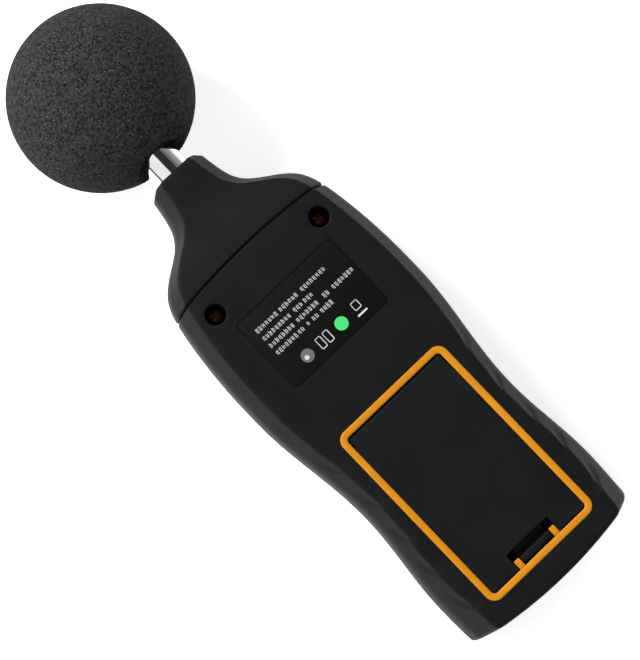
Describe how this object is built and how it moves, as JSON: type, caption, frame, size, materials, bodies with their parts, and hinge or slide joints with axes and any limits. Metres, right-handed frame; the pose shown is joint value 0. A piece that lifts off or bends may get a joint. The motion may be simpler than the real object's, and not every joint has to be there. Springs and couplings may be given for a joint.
{
  "type": "sound level meter",
  "caption": "Handheld sound level meter: waisted black housing, tapering neck, chromed microphone tube, round foam windscreen, battery door in an amber frame on the back.",
  "frame": {"origin": "under the middle of the object's length and width, on the plane that the foam windscreen touches when the meter lies face down", "axes": "+Z out of the back, +Y along the meter towards the microphone, +X across, to the right when the back is seen with the microphone up"},
  "size_m": [0.0686, 0.2326, 0.0585],
  "materials": {
    "shell_black": "satin",
    "amber_trim": "satin",
    "label_black": "gloss",
    "screw_bronze": "satin",
    "foam": "matte",
    "chrome_tube": "polished",
    "grille_steel": "satin",
    "black_rubber": "matte",
    "lead_jacket": "satin",
    "clear_window": "gloss",
    "lcd_glass": "gloss",
    "diffuser": "satin",
    "grey_rubber": "matte",
    "button_orange": "matte",
    "button_grey": "matte",
    "circuit_board": "satin",
    "zinc_screw": "satin",
    "chip_black": "matte",
    "tin_plate": "satin",
    "tray_black": "matte",
    "cell_wrap": "gloss"
  },
  "bodies": {
    "housing": {"front_shell": "shell_black", "rear_cover": "shell_black", "neck_cap": "shell_black", "door_frame": "amber_trim", "rating_label": "label_black", "upper_case_screws": "screw_bronze", "lower_case_screws": "screw_bronze", "mic_tube": "chrome_tube", "mic_grille": "grille_steel", "mic_capsule": "grille_steel", "mic_grommet": "black_rubber", "mic_lead": "lead_jacket", "lcd_window": "clear_window", "lcd_panel": "lcd_glass", "lcd_backlight": "diffuser", "lcd_connectors": "grey_rubber", "keypad_mat": "grey_rubber", "main_board": "circuit_board", "board_screws": "zinc_screw", "board_chips": "chip_black", "preamp_shield": "tin_plate", "battery_tray": "tray_black", "battery_cell_1": "cell_wrap", "battery_cell_2": "cell_wrap", "battery_cell_3": "cell_wrap", "contact_springs": "tin_plate", "contact_plates": "tin_plate", "battery_leads": "lead_jacket"},
    "door": {"battery_door": "shell_black"},
    "latch": {"battery_latch": "shell_black"},
    "foam_ball": {"windscreen": "foam"},
    "power_key": {"power_button": "button_orange"},
    "hold_key": {"hold_button": "button_grey"},
    "range_key": {"range_button": "button_grey"},
    "weighting_key": {"weighting_button": "button_grey"},
    "speed_key": {"speed_button": "button_grey"},
    "light_key": {"light_button": "button_grey"}
  },
  "joints": [
    {"name": "door_hinge", "type": "hinge", "parent": "housing", "child": "door", "pos_m": [0, -0.0432, 0.0444], "axis": [-1, 0, 0], "range_deg": [0, 80]},
    {"name": "latch_slide", "type": "slide", "parent": "door", "child": "latch", "axis": [0, 1, 0], "range_m": [0, 0.0012], "stiffness_N_per_m": 400, "springref_m": -0.0008},
    {"name": "windscreen_slide", "type": "slide", "parent": "housing", "child": "foam_ball", "axis": [0, 1, 0], "range_m": [0, 0.045]},
    {"name": "power_press", "type": "slide", "parent": "housing", "child": "power_key", "axis": [0, 0, 1], "range_m": [0, 0.0008], "stiffness_N_per_m": 300, "springref_m": -0.001},
    {"name": "hold_press", "type": "slide", "parent": "housing", "child": "hold_key", "axis": [0, 0, 1], "range_m": [0, 0.0008], "stiffness_N_per_m": 300, "springref_m": -0.001},
    {"name": "range_press", "type": "slide", "parent": "housing", "child": "range_key", "axis": [0, 0, 1], "range_m": [0, 0.0008], "stiffness_N_per_m": 300, "springref_m": -0.001},
    {"name": "weighting_press", "type": "slide", "parent": "housing", "child": "weighting_key", "axis": [0, 0, 1], "range_m": [0, 0.0008], "stiffness_N_per_m": 300, "springref_m": -0.001},
    {"name": "speed_press", "type": "slide", "parent": "housing", "child": "speed_key", "axis": [0, 0, 1], "range_m": [0, 0.0008], "stiffness_N_per_m": 300, "springref_m": -0.001},
    {"name": "light_press", "type": "slide", "parent": "housing", "child": "light_key", "axis": [0, 0, 1], "range_m": [0, 0.0008], "stiffness_N_per_m": 300, "springref_m": -0.001}
  ]
}
